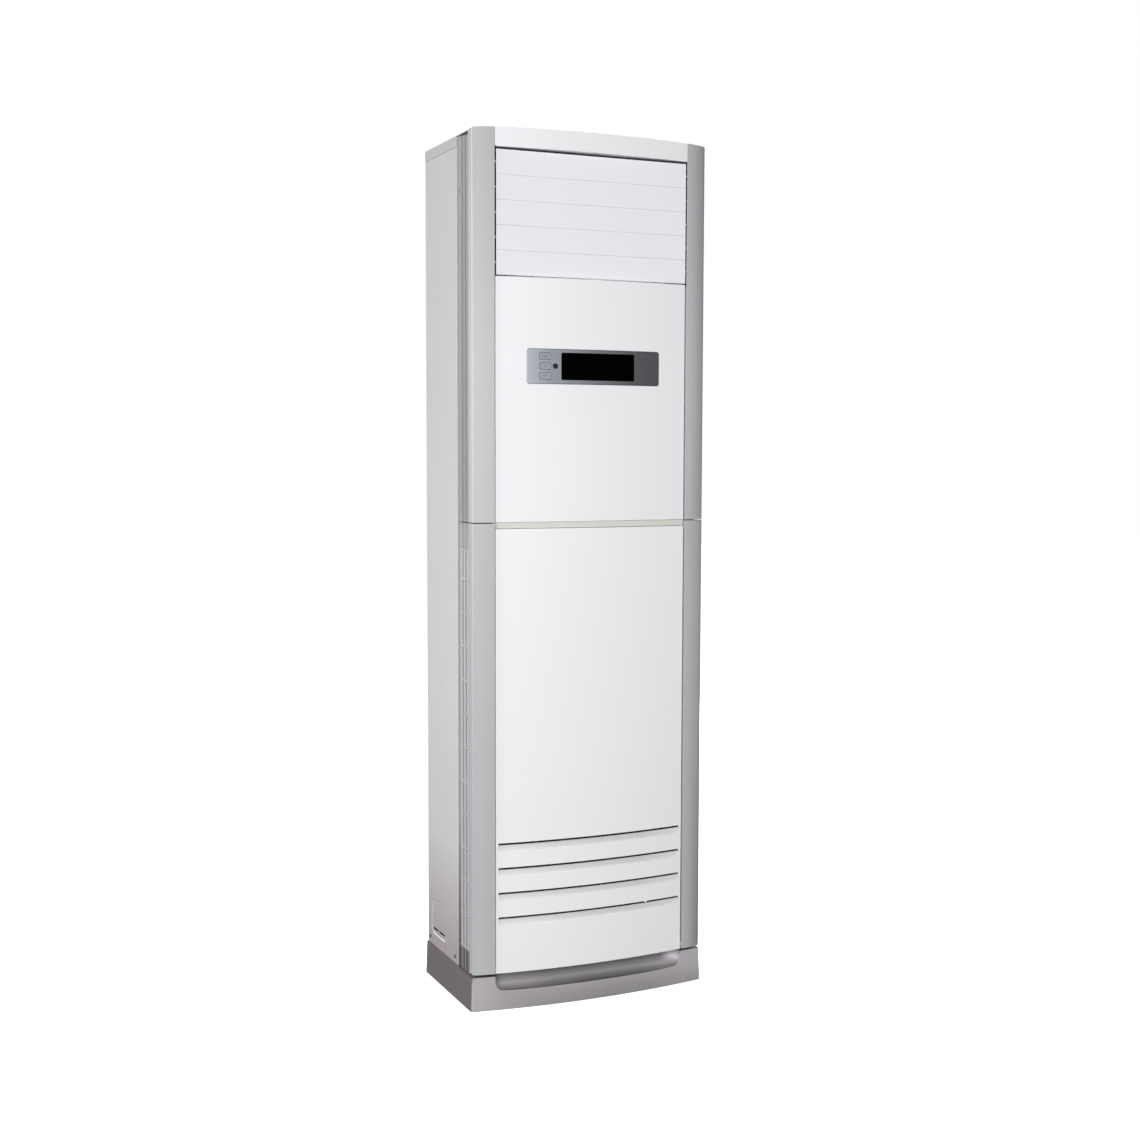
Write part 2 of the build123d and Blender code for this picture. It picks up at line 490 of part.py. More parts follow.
# ---------------------------------------------------------------- upright swing vanes
for i, x in enumerate(VANE_X):
    v = bx(x - 1.0, x + 1.0, 37.0, 77.0, VANE_Z0, VANE_Z1)
    v -= bx(x - 5, x + 5, 62.0, 80.0, VANE_Z0 - 1, VANE_Z0 + 15.0)
    v += cz(VANE_Z0, VANE_Z1, x, VANE_AXIS_Y, 2.6)
    v += cz(1463.6, VANE_Z0 + 1, x, VANE_AXIS_Y, 2.0)
    v += cz(VANE_Z1 - 1, 1716.0, x, VANE_AXIS_Y, 2.0)
    v += bx(x - 1.6, x + 1.6, VANE_AXIS_Y + VANE_ARM - 3, VANE_AXIS_Y + VANE_ARM + 3, VANE_Z0 + 14.0, VANE_Z0 + 17.0)
    v += cz(1478.6, VANE_Z0 + 16.0, x, VANE_AXIS_Y + VANE_ARM, 2.0)
    put("swing_vane_%d" % (i + 1), v)
sy = VANE_AXIS_Y + VANE_ARM
slink = bx(VANE_X[0], VANE_X[-1], sy - 3.8, sy + 3.8, 1480.4, 1483.4)
slink += cz(1480.4, 1483.4, VANE_X[0], sy, 3.8) + cz(1480.4, 1483.4, VANE_X[-1], sy, 3.8)
for x in VANE_X:
    slink -= cz(1475, 1490, x, sy, 2.07)
put("swing_link_bar", slink)
sx = VANE_X[-1]
smotor = cz(1716.8, 1733.0, sx, VANE_AXIS_Y + 6.0, 12.0) + bx(sx - 21, sx + 21, VANE_AXIS_Y + 0.0, VANE_AXIS_Y + 12.0, 1716.8, 1718.3)
for dx in (-17.5, 17.5):
    smotor += cz(1714.8, 1716.8, sx + dx, VANE_AXIS_Y + 6.0, 3.0)
put("swing_motor", smotor)

# ---------------------------------------------------------------- blower
def scroll_pts(t):
    pts = []
    n = 24
    for k in range(n + 1):
        a = 75.0 + 285.0 * k / n
        r = 168.0 + 72.0 * (a - 75.0) / 285.0 + t
        pts.append((FAN_X + r * math.cos(math.radians(a)), FAN_Z + r * math.sin(math.radians(a))))
    return pts


def scroll(t, top, y0, y1):
    p = [(x, y0, z) for x, z in scroll_pts(t)]
    e = []
    for k in range(0, len(p) - 2, 2):
        e.append(ThreePointArc(p[k], p[k + 1], p[k + 2]))
    xr = p[-1][0]
    e += [Line(p[-1], (xr, y0, top)), Line((xr, y0, top), (24.0 - t, y0, top)), Line((24.0 - t, y0, top), p[0])]
    return extrude(make_face(e), y1 - y0, dir=(0, 1, 0))


# two folded legs on the base pan cradle the scroll
legs = Part()
for x in (-142.0, 92.0):
    legs += bx(x - 1, x + 1, 96, 224, 1.5, 240)
    legs += bx(x - 12, x + 12, 96, 224, 1.5, 3.0)
    legs += bx(x - 12, x + 12, 96, 98, 1.5, 60)
base_scroll = scroll(2.0, DECK_Z, 90.0, 230.0)
legs -= base_scroll
put("base_pan", pan_floor + legs)
housing = scroll(2.0, DECK_Z, 94.5, 225.5)
housing -= scroll(0.0, DECK_Z + 20, 96.5, 223.5)
housing -= cy(80, 100, FAN_X, FAN_Z, 129.0)
housing -= cy(215, 240, FAN_X, FAN_Z, 66.0)
put("blower_housing", housing)

ring_sec = make_face(Polyline([(FAN_X + 137.0, 92.5, FAN_Z), (FAN_X + 137.0, 94.5, FAN_Z), (FAN_X + 128.6, 94.5, FAN_Z),
                               (FAN_X + 124.0, 99.5, FAN_Z), (FAN_X + 122.0, 108.5, FAN_Z), (FAN_X + 120.0, 108.5, FAN_Z),
                               (FAN_X + 121.4, 98.5, FAN_Z), (FAN_X + 126.4, 92.5, FAN_Z)], close=True))
fan_axis = Axis((FAN_X, 0, FAN_Z), (0, 1, 0))
put("inlet_ring", revolve(ring_sec, fan_axis, 360))

imp = cy(211, 214, FAN_X, FAN_Z, FAN_R) + cy(186, 212, FAN_X, FAN_Z, 20.0)
imp += cy(104, 107, FAN_X, FAN_Z, FAN_R) - cy(100, 110, FAN_X, FAN_Z, 133.0)
NB = 36
bl = make_face([ThreePointArc((FAN_X + 124.0, 106.0, FAN_Z), (FAN_X + 138.5, 106.0, FAN_Z + 2.0), (FAN_X + 149.2, 106.0, FAN_Z + 10.0)),
                Line((FAN_X + 149.2, 106.0, FAN_Z + 10.0), (FAN_X + 148.2, 106.0, FAN_Z + 11.4)),
                ThreePointArc((FAN_X + 148.2, 106.0, FAN_Z + 11.4), (FAN_X + 137.8, 106.0, FAN_Z + 3.6), (FAN_X + 124.0, 106.0, FAN_Z + 1.7)),
                Line((FAN_X + 124.0, 106.0, FAN_Z + 1.7), (FAN_X + 124.0, 106.0, FAN_Z))])
blade = extrude(bl, 106.0, dir=(0, 1, 0))
blades = [blade.rotate(fan_axis, 360.0 * k / NB) for k in range(NB)]
imp = imp + blades
imp -= cy(180, 220, FAN_X, FAN_Z, 6.0)
put("impeller", imp)
put("motor_shaft", cy(180.0, 262.0, FAN_X, FAN_Z, 6.0))

motor = cy(225.5, 228.5, FAN_X, FAN_Z, 80.0) + cy(228.0, 272.0, FAN_X, FAN_Z, 58.0) + cy(271.0, 278.0, FAN_X, FAN_Z, 24.0)
motor -= cy(220.0, 262.6, FAN_X, FAN_Z, 6.06)
put("fan_motor", motor)

deck = bx(-234.0, 234.0, 26.0, 285.0, DECK_Z, DECK_Z + 1.5) + bx(-252.0, 252.0, 99.0, 285.0, DECK_Z, DECK_Z + 1.5)
deck += bx(-252.0, 252.0, 99.0, 100.5, DECK_Z, DECK_Z + 12.0)
deck -= bx(24.0, 216.0, 96.5, 223.5, DECK_Z - 1, DECK_Z + 3)
deck -= bx(-250.0, -214.0, 222.0, 290.0, DECK_Z - 1, DECK_Z + 3)
deck -= bx(-250.0, -222.5, 70.5, 89.5, DECK_Z - 1, DECK_Z + 3)
deck += bx(24.0, 216.0, 224.5, 226.0, DECK_Z + 1.5, DECK_Z + 14)
put("blower_deck", deck)

# ---------------------------------------------------------------- evaporator, leaning back
COIL = Pos(0, COIL_Y0, COIL_Z0) * Rot(-COIL_TILT, 0, 0)
ROWS_N = (-11.0, 11.0)
hole_pts = [(n, 50.0 + TUBE_PITCH * k) for n in ROWS_N for k in range(TUBES)]


def coil_sheet(x0, x1, margin, r):
    pl = Plane(origin=(x0, 0, COIL_L / 2), x_dir=(0, 1, 0), z_dir=(1, 0, 0))
    sk = Rectangle(COIL_T + 2 * margin, COIL_L + 2 * margin)
    sk -= [Pos(n, w - COIL_L / 2) * Circle(r) for n, w in hole_pts]
    return extrude(pl * sk, x1 - x0)


one_fin = coil_sheet(0.0, 0.8, 0.0, 5.1)
fins = Compound(children=[COIL * Pos(-COIL_X + 4.0 + i * 8.65, 0, 0) * one_fin for i in range(45)])
put("evaporator_fins", fins)
plate = coil_sheet(0.0, 1.5, 4.0, 5.15)
put("evaporator_plates", Compound(children=[COIL * Pos(-194.0, 0, 0) * plate, COIL * Pos(192.5, 0, 0) * plate]))

rows = []
for n in ROWS_N:
    pts = []
    for k in range(TUBES):
        w = 50.0 + TUBE_PITCH * k
        ends = (-204.0, 223.0) if k % 2 == 0 else (223.0, -223.0)
        a, b = ends
        if k % 2 == 0:
            a = -204.0 if k == 0 else -223.0
        if k == TUBES - 1:
            b = -204.0
        pts += [(a, n, w), (b, n, w)]
    path = FilletPolyline(*pts, radius=TUBE_PITCH / 2 - 0.4)
    st = path @ 0
    prof = Plane(origin=st, z_dir=path % 0) * (Circle(5.0) - Circle(4.3))
    rows.append(COIL * sweep(prof, path=path))
put("evaporator_tubes", Compound(children=rows))

dpan = bx(-205, 205, 28, 104, 712, 757) - bx(-203, 203, 30, 102, 714, 760)
for s in (1, -1):
    dpan += bx(min(s * 205, s * 242.8), max(s * 205, s * 242.8), 60, 94, 750, 752)
dpan -= cx(-210, -200, 80, 724, 6.5)
put("drain_pan", dpan)


def pipe(points, r, ri, radius):
    path = FilletPolyline(*points, radius=radius)
    prof = Plane(origin=path @ 0, z_dir=path % 0) * (Circle(r) - Circle(ri))
    return sweep(prof, path=path)


put("drain_pipe", pipe([(-205.0, 80, 724), (-232.0, 80, 724), (-232.0, 80, 150)], 8.0, 6.5, 18.0))


def coil_pt(n, w):
    a = math.radians(COIL_TILT)
    return (COIL_Y0 + w * math.sin(a) + n * math.cos(a), COIL_Z0 + w * math.cos(a) - n * math.sin(a))


gy, gz = coil_pt(11.0, 50.0 + TUBE_PITCH * (TUBES - 1))
qy, qz = coil_pt(-11.0, 50.0)
gas = pipe([(-204.5, gy, gz), (GAS_XY[0], gy, gz), (GAS_XY[0], GAS_XY[1], gz), (GAS_XY[0], GAS_XY[1], 230.0)], 6.35, 5.35, 12.0)
liq = pipe([(-204.5, qy, qz), (LIQ_XY[0], qy, qz), (LIQ_XY[0], LIQ_XY[1], qz), (LIQ_XY[0], LIQ_XY[1], 230.0)], 4.76, 3.9, 14.0)
put("refrigerant_pipes", Compound(children=[gas, liq]))


def union_fitting(xy, r_hex, r_thread, r_bore):
    x, y = xy
    u = Pos(x, y, 214.0) * extrude(RegularPolygon(r_hex, 6), 16.0)
    u += cz(196.0, 214.5, x, y, r_thread)
    u -= cz(190.0, 235.0, x, y, r_bore)
    return u


put("flare_unions", Compound(children=[union_fitting(GAS_XY, 12.0, 9.5, 5.35), union_fitting(LIQ_XY, 9.5, 7.5, 3.9)]))

# ---------------------------------------------------------------- electrics
box = bx(-180, 200, 30, 86, 522, DECK_Z) - bx(-178.8, 198.8, 20, 84.8, 523.2, DECK_Z - 1.2)
box -= cz(515, 530, 150, 60, 10.0)
put("control_box", box)
cb = bx(-165, 110, 76.0, 77.6, 532, 628)
for x, z, w, d, h in ((-120, 590, 40, 26, 34), (-60, 560, 26, 22, 26), (-60, 606, 18, 20, 18), (0, 575, 44, 14, 30),
                      (62, 605, 34, 24, 24), (62, 556, 22, 18, 22)):
    cb += bx(x - w / 2, x + w / 2, 76.0 - d, 76.0, z - h / 2, z + h / 2)
for x in (-155, 100):
    for z in (540, 620):
        cb += cy(77.6, 84.8, x, z, 3.0)
put("control_board", cb)
tb = bx(135, 190, 66.0, 84.8, 560, 600)
for i in range(5):
    tb -= bx(138 + i * 10.4, 146.5 + i * 10.4, 60, 74.0, 563, 579)
    tb -= bx(138 + i * 10.4, 146.5 + i * 10.4, 60, 74.0, 581, 597)
put("terminal_block", tb)

gland = cy(REAR_Y, GLAND_Y, 185, 150, 14.5) + cy(279.0, REAR_Y + 0.5, 185, 150, 10.0)
gland += Pos(185, 281.0, 150) * Rot(-90, 0, 0) * extrude(RegularPolygon(15.5, 6), 6.1)
gland -= cy(270, 300, 185, 150, 5.0)
put("cable_gland", gland)

# ---------------------------------------------------------------- screws
def side_screw(s, x, y, z, r, h, rs, depth):
    # head outwards along x on side s, with a cross recess
    f = cx(min(s * x, s * (x + h)), max(s * x, s * (x + h)), y, z, r)
    f += cx(min(s * (x - depth), s * (x + 0.3)), max(s * (x - depth), s * (x + 0.3)), y, z, rs)
    a, b = min(s * (x + h - 0.9), s * (x + h + 1)), max(s * (x + h - 0.9), s * (x + h + 1))
    w = r * 0.62
    return f - bx(a, b, y - w, y + w, z - 0.45, z + 0.45) - bx(a, b, y - 0.45, y + 0.45, z - w, z + w)


screws = []
for s in (1, -1):
    screws.append(side_screw(s, 250.0, 89.0, 1641.0, 3.4, 1.8, 1.7, 11.5))
    for y in (115.0, 270.0):
        screws.append(side_screw(s, SIDE_X, y, 84.0, 4.0, 1.6, 2.1, 7.0))
    for z in (110, 900, 1640):
        f = cy(REAR_Y, REAR_Y + 1.8, s * 240, z, 4.2) + cy(279.0, REAR_Y + 0.5, s * 240, z, 2.1)
        f -= bx(s * 240 - 2.6, s * 240 + 2.6, REAR_Y + 0.9, REAR_Y + 3, z - 0.5, z + 0.5)
        f -= bx(s * 240 - 0.5, s * 240 + 0.5, REAR_Y + 0.9, REAR_Y + 3, z - 2.6, z + 2.6)
        screws.append(f)
put("panel_screws", Compound(children=screws))

# ---------------------------------------------------------------- write the pieces
for name, shape in PARTS.items():
    moved = Pos(0, Y_SHIFT, 0) * shape
    sol = moved.solids()
    out = sol[0] if len(sol) == 1 else Compound(children=list(sol))
    out.label = name
    export_step(out, os.path.join(OUT, name + ".step"))
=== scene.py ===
import json
import math

import bmesh
import bpy
from mathutils import Matrix, Vector

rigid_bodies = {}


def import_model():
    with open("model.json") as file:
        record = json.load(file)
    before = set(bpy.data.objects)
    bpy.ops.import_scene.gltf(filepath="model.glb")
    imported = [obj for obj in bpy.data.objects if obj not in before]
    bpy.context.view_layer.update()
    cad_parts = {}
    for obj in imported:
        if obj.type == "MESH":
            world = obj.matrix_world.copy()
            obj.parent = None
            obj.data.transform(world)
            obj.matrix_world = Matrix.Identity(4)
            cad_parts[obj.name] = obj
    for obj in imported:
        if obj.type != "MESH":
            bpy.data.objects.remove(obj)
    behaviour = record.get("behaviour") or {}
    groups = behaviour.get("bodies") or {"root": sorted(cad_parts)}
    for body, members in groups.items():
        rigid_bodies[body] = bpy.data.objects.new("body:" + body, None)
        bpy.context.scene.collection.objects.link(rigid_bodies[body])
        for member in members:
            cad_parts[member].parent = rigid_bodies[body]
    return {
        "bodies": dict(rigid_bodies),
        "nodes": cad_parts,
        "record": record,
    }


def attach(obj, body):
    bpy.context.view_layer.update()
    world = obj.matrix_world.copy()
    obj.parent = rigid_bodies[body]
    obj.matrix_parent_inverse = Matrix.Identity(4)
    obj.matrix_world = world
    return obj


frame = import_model()
nodes, bodies = frame["nodes"], frame["bodies"]
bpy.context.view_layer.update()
scene = bpy.context.scene

# ------------------------------------------------------------------ colour helpers
def lin(v):
    v /= 255.0
    return v / 12.92 if v <= 0.04045 else ((v + 0.055) / 1.055) ** 2.4


def rgb(r, g, b):
    return (lin(r), lin(g), lin(b), 1.0)


# ------------------------------------------------------------------ materials
class Mat:
    """A procedural material: principled shader, object-space noise for grain, mottling and roughness."""

    def __init__(self, name):
        self.m = bpy.data.materials.new(name)
        self.m.use_nodes = True
        self.t = self.m.node_tree
        self.b = self.t.nodes["Principled BSDF"]
        self.coord = self.t.nodes.new("ShaderNodeTexCoord")
        self.height = None

    def node(self, kind, **settings):
        n = self.t.nodes.new(kind)
        for k, v in settings.items():
            setattr(n, k, v)
        return n

    def link(self, a, b):
        self.t.links.new(a, b)

    def noise(self, scale, detail=3.0, rough=0.5, stretch=None):
        n = self.node("ShaderNodeTexNoise")
        n.inputs["Scale"].default_value = scale
        n.inputs["Detail"].default_value = detail
        n.inputs["Roughness"].default_value = rough
        if stretch:
            mp = self.node("ShaderNodeMapping")
            mp.inputs["Scale"].default_value = stretch
            self.link(self.coord.outputs["Object"], mp.inputs["Vector"])
            self.link(mp.outputs["Vector"], n.inputs["Vector"])
        else:
            self.link(self.coord.outputs["Object"], n.inputs["Vector"])
        return n.outputs["Fac"]

    def ramp(self, fac, lo, hi, a=0.3, b=0.7):
        r = self.node("ShaderNodeMapRange")
        r.inputs["From Min"].default_value = a
        r.inputs["From Max"].default_value = b
        r.inputs["To Min"].default_value = lo
        r.inputs["To Max"].default_value = hi
        self.link(fac, r.inputs["Value"])
        return r.outputs["Result"]

    def mix(self, fac, a, b):
        n = self.node("ShaderNodeMix", data_type="RGBA")
        if isinstance(fac, (int, float)):
            n.inputs[0].default_value = fac
        else:
            self.link(fac, n.inputs[0])
        for i, v in ((6, a), (7, b)):
            if isinstance(v, tuple):
                n.inputs[i].default_value = v
            else:
                self.link(v, n.inputs[i])
        return n.outputs[2]

    def bump(self, height, strength, distance):
        n = self.node("ShaderNodeBump")
        n.inputs["Strength"].default_value = strength
        n.inputs["Distance"].default_value = distance
        self.link(height, n.inputs["Height"])
        if self.height is not None:
            self.link(self.height, n.inputs["Normal"])
        self.height = n.outputs["Normal"]
        self.link(self.height, self.b.inputs["Normal"])

    def soft_edge(self, radius, samples=4):
        n = self.node("ShaderNodeBevel", samples=samples)
        n.inputs["Radius"].default_value = radius
        self.height = n.outputs["Normal"]
        self.link(self.height, self.b.inputs["Normal"])

    def edge_mask(self, radius=0.0015, gain=1.0):
        # pale where the surface turns over an edge: wear and handling
        bev = self.node("ShaderNodeBevel", samples=4)
        bev.inputs["Radius"].default_value = radius
        geo = self.node("ShaderNodeNewGeometry")
        dot = self.node("ShaderNodeVectorMath", operation="DOT_PRODUCT")
        self.link(bev.outputs["Normal"], dot.inputs[0])
        self.link(geo.outputs["Normal"], dot.inputs[1])
        return self.ramp(dot.outputs["Value"], gain, 0.0, 0.75, 0.99)

    def z(self):
        s = self.node("ShaderNodeSeparateXYZ")
        self.link(self.coord.outputs["Object"], s.inputs[0])
        return s.outputs

    def abs(self, v):
        n = self.node("ShaderNodeMath", operation="ABSOLUTE")
        self.link(v, n.inputs[0])
        return n.outputs[0]

    def mul(self, a, b):
        n = self.node("ShaderNodeMath", operation="MULTIPLY")
        self.link(a, n.inputs[0])
        self.link(b, n.inputs[1])
        return n.outputs[0]

    def grad(self, fac, *stops):
        # tone along fac, given as (position, sRGB tone) pairs; a tone is a number or an (r, g, b)
        n = self.node("ShaderNodeValToRGB")
        e = n.color_ramp.elements
        cols = [rgb(v, v, v) if isinstance(v, (int, float)) else rgb(*v) for _, v in stops]
        e[0].position, e[0].color = stops[0][0], cols[0]
        e[1].position, e[1].color = stops[-1][0], cols[-1]
        for (q, _), c in list(zip(stops, cols))[1:-1]:
            e.new(q).color = c
        self.link(fac, n.inputs["Fac"])
        return n.outputs["Color"]

    def times(self, a, b):
        n = self.node("ShaderNodeMix", data_type="RGBA", blend_type="MULTIPLY")
        n.inputs[0].default_value = 1.0
        self.link(a, n.inputs[6])
        self.link(b, n.inputs[7])
        return n.outputs[2]

    def radius(self, x, y, y0):
        # distance from an upright axis at (0, y0)
        n = self.node("ShaderNodeMath", operation="SUBTRACT")
        self.link(y, n.inputs[0])
        n.inputs[1].default_value = y0
        c = self.node("ShaderNodeCombineXYZ")
        self.link(x, c.inputs[0])
        self.link(n.outputs[0], c.inputs[1])
        v = self.node("ShaderNodeVectorMath", operation="LENGTH")
        self.link(c.outputs[0], v.inputs[0])
        return v.outputs["Value"]

    def facing(self, axis):
        # component of the surface normal along axis 0, 1 or 2
        g = self.node("ShaderNodeNewGeometry")
        q = self.node("ShaderNodeSeparateXYZ")
        self.link(g.outputs["True Normal"], q.inputs[0])
        return q.outputs[axis]

    def shade(self, col, fac, tone):
        # multiplies the colour by tone where fac is 1
        n = self.node("ShaderNodeMix", data_type="RGBA", blend_type="MULTIPLY")
        self.link(fac, n.inputs[0])
        self.link(col, n.inputs[6])
        n.inputs[7].default_value = tone
        return n.outputs[2]


def plastic(name, base, dark, rough=(0.32, 0.42), grain=900.0, grain_h=0.00003, strength=0.35, edge=0.0006, coat=0.0,
            tint=None, wave=0.12, spec=0.45):
    m = Mat(name)
    m.soft_edge(edge)
    mott = m.ramp(m.noise(1.3, 3.0), 0.0, 1.0)
    fine = m.ramp(m.noise(55.0, 5.0, 0.6), 0.0, 0.22)
    col = m.mix(mott, base, dark)
    col = m.mix(fine, col, dark)
    if tint:
        col = tint(m, col)
    m.link(col, m.b.inputs["Base Color"])
    m.link(m.ramp(m.noise(26.0, 5.0, 0.65), rough[0], rough[1]), m.b.inputs["Roughness"])
    m.b.inputs["Specular IOR Level"].default_value = spec
    if coat:
        m.b.inputs["Coat Weight"].default_value = coat
        m.b.inputs["Coat Roughness"].default_value = 0.18
    if wave:
        m.bump(m.noise(7.0, 2.0), wave, 0.0006)          # slow moulding waves
    m.bump(m.noise(grain, 2.0, 0.6), strength, grain_h)
    return m


def metal(name, base, dark, rough=(0.3, 0.45), metallic=1.0, stretch=None, scale=180.0, height=0.00002, strength=0.3, edge=0.0005):
    m = Mat(name)
    m.soft_edge(edge)
    blot = m.ramp(m.noise(9.0, 6.0, 0.7), 0.0, 1.0)
    m.link(m.mix(blot, base, dark), m.b.inputs["Base Color"])
    m.b.inputs["Metallic"].default_value = metallic
    m.link(m.ramp(m.noise(scale, 4.0, 0.6, stretch), rough[0], rough[1]), m.b.inputs["Roughness"])
    m.bump(m.noise(scale, 3.0, 0.6, stretch), strength, height)
    return m


M = {}


def post_tint(m, col):
    # painted light and shade: the front moulding is painted a little darker towards its ends and lower down, where less
    # light falls; the flank behind it is a darker strip still, and its foot, the groove along its front edge and the
    # hollows between the ribs are painted darker as shade
    x, y, z = m.z()
    ax = m.abs(x)
    strip = m.ramp(y, 0.0, 1.0, -0.1096, -0.1088)
    foot = m.ramp(z, 1.0, 0.0, 0.1140, 0.1160)
    deep = m.ramp(ax, 1.0, 0.0, 0.2520, 0.2532)
    lip = m.ramp(y, 0.0, 1.0, -0.0450, -0.0440)
    low = m.ramp(z, 1.0, 0.0, 0.10, 0.40)
    lower = m.ramp(z, 1.0, 0.0, 0.975, 0.995)
    tone = m.mix(lower, rgb(176, 176, 178), rgb(193, 192, 194))
    # painted shade at the foot and in the hollows between the ribs
    tone = m.mix(m.mul(foot, deep), m.mix(foot, tone, rgb(146, 141, 143)), rgb(112, 107, 109))
    # painted shade in the groove along the flank's front edge, lower down
    tone = m.mix(m.mul(lip, low), m.mix(lip, tone, rgb(196, 195, 197)), rgb(124, 117, 119))
    # painted shade: darker towards the foot and the top, as the light falls off with height
    col = m.times(col, m.grad(m.ramp(z, 0.0, 1.0, 0.0, 1.8), (0.05, 237), (0.14, 234), (0.44, 241), (0.545, 240), (0.548, 248), (0.72, 252),
                              (0.95, 240)))
    # painted light: the turn of the corner is painted lighter on the flank's side, and darker at the bend, as the light
    # falls on it
    turn = m.mul(m.ramp(x, 1.0, 0.0, -0.2535, -0.2515), m.ramp(m.abs(m.facing(0)), 0.0, 1.0, 0.74, 0.90))
    col = m.shade(col, turn, (1.22, 1.22, 1.22, 1.0))
    bend = m.grad(m.abs(m.facing(0)), (0.36, 255), (0.50, 236), (0.74, 236), (0.86, 255))
    col = m.times(col, bend)
    # right post: painted shade, darker towards its outer edge and its foot where the light from the left falls off, and
    # painted lighter on its lower part and its upper inner face
    run = m.grad(m.ramp(x, 0.0, 1.0, 0.0, 0.26), (0.70, 255), (0.80, 243), (0.905, 229), (0.955, 216), (0.985, 190))
    col = m.times(col, run)
    side = m.mul(m.ramp(x, 0.0, 1.0, -0.1, 0.1), lower)
    col = m.shade(col, side, (1.15, 1.15, 1.155, 1.0))
    inner = m.mul(m.mul(m.ramp(x, 0.0, 1.0, 0.206, 0.212), m.ramp(x, 1.0, 0.0, 0.224, 0.242)), m.ramp(z, 0.0, 1.0, 0.975, 0.995))
    col = m.shade(col, inner, (1.10, 1.10, 1.11, 1.0))
    outer = m.mul(m.ramp(x, 0.0, 1.0, 0.248, 0.257), m.ramp(m.facing(1), 1.0, 0.0, -0.40, -0.20))
    col = m.shade(col, outer, (0.86, 0.86, 0.86, 1.0))
    dusk = m.mul(m.ramp(z, 1.0, 0.0, 0.08, 0.50), m.ramp(x, 0.0, 1.0, 0.225, 0.255))
    col = m.shade(col, dusk, (0.70, 0.70, 0.71, 1.0))
    return m.mix(strip, col, tone)


def grille_tint(m, col):
    # painted shade: the grille darker lower down and in the hollows between its bars
    x, y, z = m.z()
    deep = m.ramp(m.abs(x), 1.0, 0.0, 0.2524, 0.2535)
    col = m.shade(col, m.ramp(z, 1.0, 0.0, 0.10, 0.60), (0.93, 0.91, 0.92, 1.0))
    return m.shade(col, deep, (0.95, 0.95, 0.96, 1.0))


def plinth_tint(m, col):
    # painted light and shade: the front is painted lighter towards the corners and the lip, as a sheen, and darker
    # towards the middle and right; the flanks are painted darker as shade;
    # the hollow of the toe recess is painted darkest at its foot and under the panel, with a painted highlight at its
    # right end
    x, y, z = m.z()
    full = m.ramp(z, 1.0, 1.0, 0.0, 1.0)
    painted_sheen = m.times(m.shade(col, full, (1.18, 1.18, 1.18, 1.0)),
                   m.grad(m.ramp(z, 0.0, 1.0, 0.0, 0.07), (0.0, 222), (0.30, 238), (0.52, 253), (1.0, 255)))
    front = m.mix(m.ramp(x, 0.15, 1.0, -0.20, -0.05), col, painted_sheen)
    front = m.times(front, m.grad(m.ramp(x, 0.0, 1.0, -0.26, 0.26), (0.04, 255), (0.14, 240), (0.24, 234), (0.40, 230), (0.58, 226), (0.73, 229),
                                  (0.92, 246)))
    hollow = m.ramp(m.radius(x, y, 1.3182), 1.0, 0.0, 1.4672, 1.4685)
    rise = m.node("ShaderNodeMath", operation="SUBTRACT")      # the painted highlight band climbs a little towards the left end
    m.link(z, rise.inputs[0])
    m.link(m.ramp(x, 0.0033, 0.0, -0.205, -0.115), rise.inputs[1])
    up = m.ramp(rise.outputs[0], 0.0, 1.0, 0.034, 0.070)
    # painted shade and highlight across the hollow, darkest under the panel and at its foot
    inner = m.times(col, m.grad(up, (0.09, 168), (0.11, 212), (0.18, 217), (0.24, 232), (0.33, 252), (0.40, 254), (0.52, 220), (0.62, 210),
                                (0.74, 186), (0.90, 170)))
    inner = m.times(inner, m.grad(m.ramp(x, 0.0, 1.0, -0.26, 0.26), (0.10, 226), (0.15, 243), (0.22, 240), (0.34, 223), (0.50, 220), (0.72, 223),
                                  (0.82, 238)))
    # painted highlight where the hollow turns at its right end
    end = m.times(m.shade(col, full, (1.38, 1.38, 1.40, 1.0)),
                  m.grad(up, (0.10, 150), (0.25, 180), (0.40, 218), (0.55, 248), (0.70, 255), (0.80, 225), (0.89, 205)))
    inner = m.mix(m.ramp(x, 0.0, 1.0, 0.168, 0.192), inner, end)
    col = m.mix(hollow, front, inner)
    # painted shade: the flanks darker
    side = m.ramp(m.facing(1), 0.0, 1.0, -0.75, -0.30)
    return m.mix(m.mul(side, m.ramp(m.abs(x), 0.0, 1.0, 0.250, 0.254)), col, rgb(130, 121, 122))


def side_tint(m, col):
    x, y, z = m.z()
    # painted shade: the flank is painted darker and warmer towards the bottom, and a little darker towards the top, as
    # the light falls off
    flank = m.times(col, m.grad(m.ramp(z, 0.0, 1.0, 0.0, 1.75), (0.05, (213, 203, 204)), (0.12, (235, 230, 230)), (0.18, 252),
                                (0.36, 255), (0.50, 251), (0.80, 240), (0.97, 235)))
    col = m.mix(m.ramp(m.facing(1), 1.0, 0.0, 0.5, 0.9), col, flank)
    # painted highlight: the stamped edge under the knockout's slots is painted near white where it faces up into the
    # light
    edge = m.mul(m.ramp(m.facing(2), 0.0, 1.0, 0.35, 0.55), m.ramp(z, 1.0, 0.0, 0.0970, 0.0975))
    return m.mix(edge, col, rgb(250, 250, 250))


def louvre_tint(m, col):
    # painted shade: the ends of the blades, and their backs close to the ends, are painted dark where the gaps at the
    # blade ends fall in shade
    end = m.ramp(m.abs(m.facing(0)), 0.0, 1.0, 0.6, 0.8)
    back = m.mul(m.ramp(m.facing(1), 0.0, 1.0, -0.6, -0.3), m.ramp(m.abs(m.z()[0]), 0.0, 1.0, 0.2025, 0.2030))
    return m.mix(back, m.mix(end, col, rgb(46, 46, 48)), rgb(46, 46, 48))


